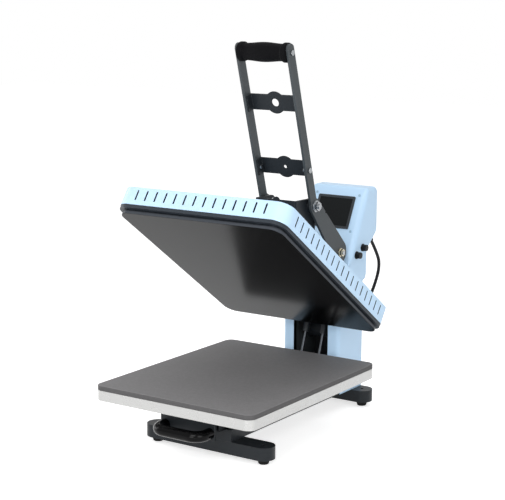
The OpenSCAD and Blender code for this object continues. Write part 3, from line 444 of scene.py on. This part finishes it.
def silicone_sponge(name, colour, off_top_colour):
    """Silicone sponge sheet: dull, with open pores about a millimetre apart, drawn three times coarser to show.

    Whatever doesn't face up, such as the rims, is darker.
    """
    tree, shader, place, normal = start(name)
    pores = add(tree, "ShaderNodeTexVoronoi", {"Vector": place, "Scale": per(3)})
    dust = add(tree, "ShaderNodeTexNoise", {"Vector": place, "Scale": per(6), "Detail": 5.0, "Roughness": 0.7})
    cloud = add(tree, "ShaderNodeTexNoise", {"Vector": place, "Scale": per(120), "Detail": 2.0})
    speck = add(tree, "ShaderNodeValToRGB", {"Fac": dust.outputs["Fac"]})
    tone(speck, colour, (0.35, 0.90), (0.68, 1.10))
    wide = add(tree, "ShaderNodeMapRange", {"Value": cloud.outputs["Fac"], "To Min": 0.95, "To Max": 1.05})
    top_colour = add(tree, "ShaderNodeVectorMath", {0: speck.outputs[0], 3: wide.outputs[0]}, operation="SCALE")
    level = add(tree, "ShaderNodeVectorMath", {0: normal, 1: (0, 0, 1)}, operation="DOT_PRODUCT")
    top = add(tree, "ShaderNodeMapRange", {"Value": level.outputs["Value"], "From Min": 0.3, "From Max": 0.8})
    paint = add(
        tree,
        "ShaderNodeMix",
        {"Factor": top.outputs[0], "A": shade(off_top_colour, 1), "B": top_colour.outputs[0]},
        data_type="RGBA",
    )
    gloss = add(tree, "ShaderNodeMapRange", {"Value": dust.outputs["Fac"], "To Min": 0.62, "To Max": 0.8})
    bump = add(
        tree, "ShaderNodeBump", {"Height": pores.outputs["Distance"], "Strength": 0.15, "Distance": 0.5 * MM}
    )
    fill(
        tree,
        shader,
        {
            "Base Color": paint.outputs["Result"],
            "Roughness": gloss.outputs[0],
            "Normal": bump.outputs[0],
            "IOR": 1.41,
        },
    )


def nonstick_coating(name, colour, metal, face):
    """Non-stick coating on cast aluminium: sprayed black film with a low sheen and a few paler specks.

    Real specks are about a millimetre wide, so they are drawn four times coarser to show. The film is on the face that
    presses, whose normal is given; the machined rim shows the grey metal, painted paler than its dull oxide as a
    painted highlight for the light that falls on the plate's sides.
    """
    tree, shader, place, normal = start(name)
    film = add(tree, "ShaderNodeTexNoise", {"Vector": place, "Scale": per(4), "Detail": 4.0})
    haze = add(tree, "ShaderNodeTexNoise", {"Vector": place, "Scale": per(160), "Detail": 2.0})
    soft = add(tree, "ShaderNodeBevel", {"Radius": 3 * MM}, samples=4)
    speck = add(tree, "ShaderNodeValToRGB", {"Fac": film.outputs["Fac"]})
    tone(speck, colour, (0.55, 1.0), (0.8, 1.7))
    square_on = add(tree, "ShaderNodeVectorMath", {0: normal, 1: face}, operation="DOT_PRODUCT")
    coated = add(tree, "ShaderNodeMapRange", {"Value": square_on.outputs["Value"], "From Min": 0.2, "From Max": 0.6})
    # The rim's paler grey is a painted highlight for the light on the plate's sides
    paint = add(
        tree,
        "ShaderNodeMix",
        {"Factor": coated.outputs[0], "A": shade(metal, 1), "B": speck.outputs[0]},
        data_type="RGBA",
    )
    gloss = add(tree, "ShaderNodeMapRange", {"Value": haze.outputs["Fac"], "To Min": 0.13, "To Max": 0.20})
    bump = add(
        tree,
        "ShaderNodeBump",
        {"Height": film.outputs["Fac"], "Strength": 0.05, "Distance": 0.3 * MM, "Normal": soft.outputs[0]},
    )
    fill(
        tree,
        shader,
        {
            "Base Color": paint.outputs["Result"],
            "Roughness": gloss.outputs[0],
            "Normal": bump.outputs[0],
            "IOR": 1.38,
            "Specular IOR Level": 0.095,
        },
    )


def fibre_board(name, colour):
    """Pressed fibre insulation or woven heater sheet: matted threads about two millimetres long."""
    tree, shader, place, _ = start(name)
    threads = add(tree, "ShaderNodeTexNoise", {"Vector": place, "Scale": per(2), "Detail": 6.0, "Distortion": 1.5})
    tint = add(tree, "ShaderNodeValToRGB", {"Fac": threads.outputs["Fac"]})
    tone(tint, colour, (0, 0.7), (1, 1.15))
    bump = add(tree, "ShaderNodeBump", {"Height": threads.outputs["Fac"], "Strength": 0.4, "Distance": 0.6 * MM})
    fill(tree, shader, {"Base Color": tint.outputs[0], "Normal": bump.outputs[0], "Roughness": 0.9})


def screen_glass(name, colour):
    """Dark cover glass of a display that is off: an anti-glare film, and the faint cells of the panel behind it.

    Real cells are a fraction of a millimetre wide, so they are drawn some ten times coarser to show.
    """
    tree, shader, place, _ = start(name)
    cells = add(tree, "ShaderNodeTexVoronoi", {"Vector": place, "Scale": per(1.5)})
    tint = add(tree, "ShaderNodeValToRGB", {"Fac": cells.outputs["Distance"]})
    tone(tint, colour, (0, 0.9), (1, 1.2))
    haze = add(tree, "ShaderNodeTexNoise", {"Vector": place, "Scale": per(30), "Detail": 3.0})
    gloss = add(tree, "ShaderNodeMapRange", {"Value": haze.outputs["Fac"], "To Min": 0.14, "To Max": 0.22})
    fill(
        tree,
        shader,
        {"Base Color": tint.outputs[0], "Roughness": gloss.outputs[0], "IOR": 1.52, "Specular IOR Level": 0.06},
    )


def dress(finish, *nodes):
    """Gives CAD nodes a material made by the finishes operator."""
    for node in nodes:
        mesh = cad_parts[node].data
        mesh.materials.clear()
        mesh.materials.append(bpy.data.materials[finish])


# Stage


def put(name, data, at, back, roll=0.0):
    """Adds a camera or a lamp that looks against the way back: right is up crossed with back, then rolled about it."""
    back = np.array(back) / np.linalg.norm(back)
    right = np.cross([0, 0, 1], back)
    right /= np.linalg.norm(right)
    up = np.cross(back, right)
    c, s = math.cos(roll), math.sin(roll)
    axes = np.stack([c * right + s * up, c * up - s * right, back], 1)
    thing = bpy.data.objects.new(name, data)
    thing.matrix_world = Matrix.Translation(at) @ Matrix(axes.tolist()).to_4x4()
    bpy.context.scene.collection.objects.link(thing)
    return thing


def in_sight(tree):
    """1 for rays from the camera, off a glossy surface or through a clear one, and 0 for those that only light."""
    rays = add(tree, "ShaderNodeLightPath").outputs
    seen = add(tree, "ShaderNodeMath", {0: rays["Is Camera Ray"], 1: rays["Is Glossy Ray"]}, operation="MAXIMUM")
    seen = add(tree, "ShaderNodeMath", {0: seen.outputs[0], 1: rays["Is Transmission Ray"]}, operation="MAXIMUM")
    return seen.outputs[0]


def set_camera(scene):
    """Camera of the photo: the way back to it is (sin a cos e, -cos a cos e, sin e)."""
    a, e, roll = (math.radians(d) for d in CAMERA_TURN)
    lens = bpy.data.cameras.new("camera")
    lens.lens = FOCAL_PX / WIDTH_PX * SENSOR_MM
    lens.sensor_fit = "HORIZONTAL"
    lens.clip_end = 50
    back = (math.sin(a) * math.cos(e), -math.cos(a) * math.cos(e), math.sin(e))
    scene.camera = put("camera", lens, CAMERA_AT, back, roll)


def lay_floor(scene):
    """White paper that glows a little where it is seen, so that only the press's soft shadow shows on it."""
    paint = bpy.data.materials.new("pale_floor")
    tree = bare_tree(paint)
    paper = add(tree, "ShaderNodeBsdfDiffuse", {"Color": PAPER})
    glow = add(tree, "ShaderNodeEmission", {"Color": WHITE, "Strength": PAPER_GLOW})
    both = add(tree, "ShaderNodeAddShader", {0: paper.outputs[0], 1: glow.outputs[0]})
    mix = add(tree, "ShaderNodeMixShader", {0: in_sight(tree), 1: paper.outputs[0], 2: both.outputs[0]})
    add(tree, "ShaderNodeOutputMaterial", {"Surface": mix.outputs[0]})
    h = FLOOR_HALF
    mesh = bpy.data.meshes.new("floor")
    mesh.from_pydata([(-h, -h, 0), (h, -h, 0), (h, h, 0), (-h, h, 0)], [], [(0, 1, 2, 3)])
    mesh.materials.append(paint)
    floor = bpy.data.objects.new("floor", mesh)
    scene.collection.objects.link(floor)


def light_studio(scene):
    """A world that is white where it is seen and dimmer as a light, and the lamps."""
    scene.world = bpy.data.worlds.new("studio")
    tree = bare_tree(scene.world)
    white = add(tree, "ShaderNodeBackground", {"Color": WHITE, "Strength": 1.0})
    dim = add(tree, "ShaderNodeBackground", {"Color": WHITE, "Strength": WORLD_LIGHT})
    mix = add(tree, "ShaderNodeMixShader", {0: in_sight(tree), 1: dim.outputs[0], 2: white.outputs[0]})
    add(tree, "ShaderNodeOutputWorld", {"Surface": mix.outputs[0]})
    for name, (at, to, power, size) in LAMPS.items():
        light = bpy.data.lights.new(name, "AREA")
        light.energy = power
        light.size = size
        put(name, light, at, np.array(at) - np.array(to))


# Values a user may change


class PressColours(bpy.types.PropertyGroup):
    """Colours of the press."""

    blue: FloatVectorProperty(
        name="Blue paint", description="Cover, column and head", subtype="COLOR", default=linear("#bcdaf4")
    )
    charcoal: FloatVectorProperty(
        name="Charcoal paint", description="Lever arms, cheeks and mount", subtype="COLOR", default=linear("#3c4144")
    )
    black: FloatVectorProperty(
        name="Black paint", description="Base, arm, links and drawer", subtype="COLOR", default=linear("#1f2327")
    )
    mat: FloatVectorProperty(
        name="Mat", description="Silicone mat on the bed", subtype="COLOR", default=linear("#777677")
    )
    plate: FloatVectorProperty(
        name="Heat plate", description="Non-stick coating", subtype="COLOR", default=linear("#060708")
    )
    alloy: FloatVectorProperty(
        name="Aluminium", description="Bed plate", subtype="COLOR", default=linear("#b4b4b3")
    )


class PressSizes(bpy.types.PropertyGroup):
    """Sizes that the solids leave to the looks."""

    mat_rim: FloatProperty(
        name="Mat rim", description="Rounding of the mat's rims", unit="LENGTH", default=0.0015, min=0.0005, max=0.004
    )
    head_rim: FloatProperty(
        name="Head rim", description="Rounding of the head's edges", unit="LENGTH", default=0.014, min=0.004, max=0.016
    )
    cord: FloatProperty(
        name="Cord", description="Diameter of the mains lead", unit="LENGTH", default=0.008, min=0.006, max=0.009
    )


# Operators


class PRESS_OT_stage(bpy.types.Operator):
    """Sets the camera, the pale floor, the lamps and the world"""

    bl_idname = "heat_press.stage"
    bl_label = "Stage"

    def execute(self, context):
        context.scene.view_settings.view_transform = "Standard"
        set_camera(context.scene)
        lay_floor(context.scene)
        light_studio(context.scene)
        return {"FINISHED"}


class PRESS_OT_finishes(bpy.types.Operator):
    """Makes the materials of the press"""

    bl_idname = "heat_press.finishes"
    bl_label = "Finishes"

    def execute(self, context):
        c = context.scene.press_colours
        # Hollows painted near black within, as painted shade: middle, half sizes, corner radius and turn about X
        under_cover = PIVOT + turn_x(np.array([0, -0.3645, 0]), -OPEN)
        cover_painted_shade = (under_cover, (0.2107, 0.2612, 0.0282), 0.0297, -OPEN)
        column_painted_shade = ((0, 0.24, 0.17), (0.0745, 0.0535, 0.165), 0.0085, 0)
        powder_coat("sky_blue_powder_coat", c.blue, rough=0.36, worn=0.25)
        powder_coat("sky_blue_cover_painted_shade_within", c.blue, rough=0.36, worn=0.25, shaded_hollow=cover_painted_shade)
        powder_coat("sky_blue_column_painted_shade_within", c.blue, rough=0.36, worn=0.25, shaded_hollow=column_painted_shade)
        # The screws' darker blue is painted shade for their recesses
        powder_coat("darker_blue_screw_painted_shade", linear("#98b7cc"), rough=0.36, worn=0.05)
        powder_coat("charcoal_powder_coat", c.charcoal, rough=0.45, worn=0.12, shine=0.3)
        powder_coat("black_powder_coat", c.black, rough=0.42, worn=0.10, shine=0.22)
        powder_coat("graphite_powder_coat", linear("#2c3239"), rough=0.42, worn=0.10, shine=0.22)
        brushed_metal("milled_aluminium", c.alloy, rough=0.26, along="xy", lay_mm=1.6, streak=0.03)
        brushed_metal("zinc_plated_steel", linear("#a6a9ac"), rough=0.17, along="x", lay_mm=0.8)
        brushed_metal("passivated_nut", linear("#c9c3b0"), rough=0.22, along="x", lay_mm=0.8)
        brushed_metal("bearing_bronze", linear("#b98f4e"), rough=0.34, along="x", lay_mm=0.8)
        brushed_metal("nitrided_rod", linear("#44474b"), rough=0.30, along="z", lay_mm=0.8, streak=0.03)
        brushed_metal("blackened_rail", linear("#2c2e31"), rough=0.38, along="y", lay_mm=0.8)
        silicone_sponge("silicone_sponge_mat", c.mat, linear("#4f4e4f"))
        pressing = turn_x(np.array([0, 0, -1.0]), -OPEN)
        # The rim grey is a painted highlight for the plate's lit sides
        nonstick_coating("nonstick_heat_plate", c.plate, linear("#43474d"), pressing)
        moulded("foam_rubber_grip", linear("#0c0c0e"), rough=0.62, grain_mm=1.4, depth=0.25, shine=0.05)
        moulded("vulcanised_rubber", linear("#131314"), rough=0.68, grain_mm=1.2, depth=0.18)
        moulded("pvc_sheath", linear("#161618"), rough=0.42, grain_mm=1.0, depth=0.06)
        moulded("abs_housing", linear("#17181a"), rough=0.48, grain_mm=1.0, depth=0.12)
        moulded("bezel_abs", linear("#34383c"), rough=0.42, grain_mm=1.0, depth=0.10)
        moulded("gloss_abs_pull", linear("#030304"), rough=0.11, grain_mm=1.6, depth=0.02, shine=0.11)
        moulded("solder_mask_board", linear("#2d6a45"), rough=0.35, grain_mm=2.0, depth=0.06, shine=0.4)
        fibre_board("basalt_fibre_board", linear("#24221f"))
        fibre_board("mica_heater_sheet", linear("#a4743b"))
        screen_glass("display_cover_glass", linear("#191b1c"))
        return {"FINISHED"}


class PRESS_OT_cord(bpy.types.Operator):
    """Lays the mains lead from the head down to its coil, with its tie and plug"""

    bl_idname = "heat_press.cord"
    bl_label = "Mains lead"

    def execute(self, context):
        radius = context.scene.press_sizes.cord / 2
        # The lead leaves the gland along its slope, straight at first, and its end runs out to the plug along X
        gland, way = np.array([0.058, 0.349, 0.399]), np.array([0, 0.020, -0.024])
        gland_length, straight = 0.022, 0.009
        way /= np.linalg.norm(way)
        start_at = gland + gland_length * way
        route = np.array(LEAD_ROUTE) * MM
        coil = coil_path((-0.075, 0.405), wide=0.056, pitch=0.010, low=0.0051, rise=0.0086, turns=1.75)
        tail = coil[-1] - np.outer([0.02, 0.04, 0.06], [1, 0, 0])
        path = smooth_path(np.vstack([start_at, start_at + straight * way, route, coil, tail]), spacing=0.004)
        lead = skin("mains_lead", tube_grid(path, radius), "pvc_sheath", "base", caps=True)
        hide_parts("power_cord", "cord_coil")

        # Tie: a flat band with round corners, carried round the stacked turns at one place of the coil;
        # its rows run backwards, so that the faces point outwards
        wall, corner = 0.0008, 0.0042
        near, far = corners_of("cord_tie")
        wide, _, high = far - near
        rows = []
        for inset, y in ((wall, near[1]), (0, near[1]), (0, far[1]), (wall, far[1])):
            ring = rounded_outline(wide - 2 * inset, high - 2 * inset, corner - inset)
            rows.append(np.stack([ring[:, 0], np.full(len(ring), y), ring[:, 1]], 1))
        grid = np.array(rows) + (near + far) / 2 * np.array([1, 0, 1])
        tie = skin("lead_tie", grid[::-1], "abs_housing", "base", close_u=True)
        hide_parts("cord_tie")
        dress("abs_housing", "power_plug")
        dress("vulcanised_rubber", "cord_gland")
        return {"FINISHED"}


class PRESS_OT_bed(bpy.types.Operator):
    """Makes the mat with its rounded rims and finishes the bed, its drawer and its slides"""

    bl_idname = "heat_press.bed"
    bl_label = "Bed"

    def execute(self, context):
        corner, rim = 0.018, context.scene.press_sizes.mat_rim
        low, high = corners_of("bed_mat")
        grid = slab_grid(*(high - low)[:2], corner, low[2], high[2], rim)
        grid += np.array([0, (low[1] + high[1]) / 2, 0])
        mat = skin("mat_sheet", grid, "silicone_sponge_mat", "bed", caps=True)
        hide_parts("bed_mat")
        dress("milled_aluminium", "bed_plate")
        dress("black_powder_coat", "carriage")
        dress("gloss_abs_pull", "drawer_pull")
        dress("blackened_rail", "inner_rails", "middle_rails", "outer_rails")
        return {"FINISHED"}


class PRESS_OT_base(bpy.types.Operator):
    """Finishes the feet, the beams, the column, its shafts and the gas springs"""

    bl_idname = "heat_press.base"
    bl_label = "Base and column"

    def execute(self, context):
        dress("black_powder_coat", "front_foot_bar", "rear_foot_bar", "base_beams", "gas_anchor", "gas_cylinders")
        dress("vulcanised_rubber", "rubber_feet")
        dress("sky_blue_column_painted_shade_within", "column_left_side", "column_right_side", "column_back")
        dress("charcoal_powder_coat", "frame_cheeks")
        dress("zinc_plated_steel", "arm_shaft", "lever_shaft")
        dress("nitrided_rod", "gas_rods")
        dress("passivated_nut", "lever_nuts")
        return {"FINISHED"}


class PRESS_OT_platen(bpy.types.Operator):
    """Finishes the upper platen, its arm and the pressure knob"""

    bl_idname = "heat_press.platen"
    bl_label = "Upper platen"

    def execute(self, context):
        dress("sky_blue_cover_painted_shade_within", "platen_cover")
        dress("charcoal_powder_coat", "platen_mount")
        dress("graphite_powder_coat", "platen_frame")
        dress("nonstick_heat_plate", "heat_plate")
        dress("basalt_fibre_board", "insulation_board")
        dress("mica_heater_sheet", "heater_sheet")
        dress("zinc_plated_steel", "spacer_posts", "arm_pins")
        dress("bearing_bronze", "arm_bushes")
        dress("black_powder_coat", "arm_left_plate", "arm_right_plate", "arm_hub", "arm_base_plate")
        dress("abs_housing", "pressure_knob")
        return {"FINISHED"}


class PRESS_OT_handle(bpy.types.Operator):
    """Makes the grip and finishes the lever, its cross plates, bolts and links"""

    bl_idname = "heat_press.handle"
    bl_label = "Handle"

    def execute(self, context):
        # Grip: a circle whose radius swells at the middle, dips at the necks and stands out as a collar at each end,
        # with a rounded edge; t runs from 0 at the middle to 1 at the ends
        half_length, middle_y, middle_z = 0.06265, 0.012, 0.3575
        neck, swell, collar, edge = 0.0187, 0.0014, 0.0028, 0.0022
        neck_at, collar_at, edge_at = 0.77, 0.84, 0.96
        x = np.linspace(-1, 1, 121)[:, None]
        t = np.abs(x)
        r = neck + swell * (1 + np.cos(np.pi * np.minimum(t / neck_at, 1)))
        r += collar * ease((t - neck_at) / (collar_at - neck_at))
        r -= edge * (1 - np.sqrt(1 - np.clip((t - edge_at) / (1 - edge_at), 0, 1) ** 2))
        a = np.linspace(0, 2 * math.pi, 64, endpoint=False)
        across = np.repeat(x * half_length, len(a), 1)
        grid = np.stack([across, middle_y + r * np.cos(a), middle_z + r * np.sin(a)], -1)
        grip = skin("grip_sleeve", on_handle(grid), "foam_rubber_grip", "lever", caps=True)
        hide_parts("handle_grip")
        dress("charcoal_powder_coat", "left_lever_arm", "right_lever_arm")
        dress("black_powder_coat", "upper_cross_plate", "lower_cross_plate", "link_web", "toggle_links")
        dress("zinc_plated_steel", "elbow_bolts", "handle_bolts")
        return {"FINISHED"}


class PRESS_OT_head(bpy.types.Operator):
    """Makes the head's rounded shell and finishes its display, fuses and switch"""

    bl_idname = "heat_press.head"
    bl_label = "Head"

    def execute(self, context):
        # Shell: the head's side view, from its foot along the seam on the column, round the rear and over the brow,
        # is carried across, drawn in by e(1 - sin t) while X runs on by e(1 - cos t)
        low, high = corners_of("head_casing")
        foot, seam, front_slope = np.array([0.223, 0.337]), np.array([0.309, 0.369]), math.radians(26.6)
        brow = np.array([foot[0] + (high[2] - foot[1]) * math.tan(front_slope), high[2]])
        corners = [foot, seam, (0.337, 0.389), (high[1], 0.409), (high[1], high[2]), brow]
        outline = filleted(corners, radii=[0.003, 0.03, 0.05, 0.022, 0.017, 0.013], count=280)
        way = np.roll(outline, -1, 0) - np.roll(outline, 1, 0)
        inward = np.stack([-way[:, 1], way[:, 0]], 1) / np.linalg.norm(way, axis=1)[:, None]

        # e is a hair along the seam and grows to the full rim above it; the rim is halved at the rear,
        # and drawn in less at the brow, whose own fillet is small, so that it doesn't fold over itself
        hair, grown = 0.0005, 0.03
        rear_from, rear_to, rear_loss = 0.325, 0.355, 0.5
        brow_reach, brow_loss = 0.018, 0.35
        along = (seam - foot) / np.linalg.norm(seam - foot)
        above = (outline - foot) @ np.array([-along[1], along[0]])
        rear = ease((outline[:, 0] - rear_from) / (rear_to - rear_from))
        at_brow = np.exp(-np.sum((outline - brow) ** 2, 1) / brow_reach**2)
        rim = context.scene.press_sizes.head_rim * (1 - rear_loss * rear) * (1 - brow_loss * at_brow)
        e = hair + (rim - hair) * ease(above / grown)
        rows = []
        for t in np.linspace(0, math.pi / 2, 10):
            ring = outline + inward * (e * (1 - math.sin(t)))[:, None]
            rows.append(np.column_stack([low[0] + e * (1 - math.cos(t)), ring]))
        rows += [row * np.array([-1, 1, 1]) for row in rows[::-1]]
        shell = skin("head_shell", np.array(rows), "sky_blue_powder_coat", "base", caps=True)
        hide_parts("head_casing", "head_front_panel")
        # Screws in a darker blue as painted shade for their recesses
        dress("darker_blue_screw_painted_shade", "panel_screws")
        dress("bezel_abs", "display_bezel")
        dress("abs_housing", "fuse_holders", "upper_fuse_cap", "lower_fuse_cap", "switch_frame", "power_rocker")
        dress("display_cover_glass", "display_glass")
        dress("solder_mask_board", "control_board")
        return {"FINISHED"}


ORDER = ("stage", "finishes", "cord", "bed", "base", "platen", "handle", "head")


class PRESS_PT_sidebar(bpy.types.Panel):
    """Lists the values and the pieces of the press"""

    bl_idname = "PRESS_PT_sidebar"
    bl_label = "Heat Press"
    bl_space_type = "VIEW_3D"
    bl_region_type = "UI"
    bl_category = "Heat Press"

    def draw(self, context):
        for group in (context.scene.press_colours, context.scene.press_sizes):
            for key in group.__annotations__:
                self.layout.prop(group, key)
        for name in ORDER:
            self.layout.operator("heat_press." + name)


CLASSES = (
    PressColours,
    PressSizes,
    PRESS_OT_stage,
    PRESS_OT_finishes,
    PRESS_OT_cord,
    PRESS_OT_bed,
    PRESS_OT_base,
    PRESS_OT_platen,
    PRESS_OT_handle,
    PRESS_OT_head,
    PRESS_PT_sidebar,
)


def register():
    for cls in CLASSES:
        bpy.utils.register_class(cls)
    bpy.types.Scene.press_colours = PointerProperty(type=PressColours)
    bpy.types.Scene.press_sizes = PointerProperty(type=PressSizes)


def unregister():
    del bpy.types.Scene.press_sizes
    del bpy.types.Scene.press_colours
    for cls in reversed(CLASSES):
        bpy.utils.unregister_class(cls)


def main():
    """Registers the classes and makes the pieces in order."""
    register()
    for name in ORDER:
        getattr(bpy.ops.heat_press, name)()


if __name__ == "__main__":
    main()
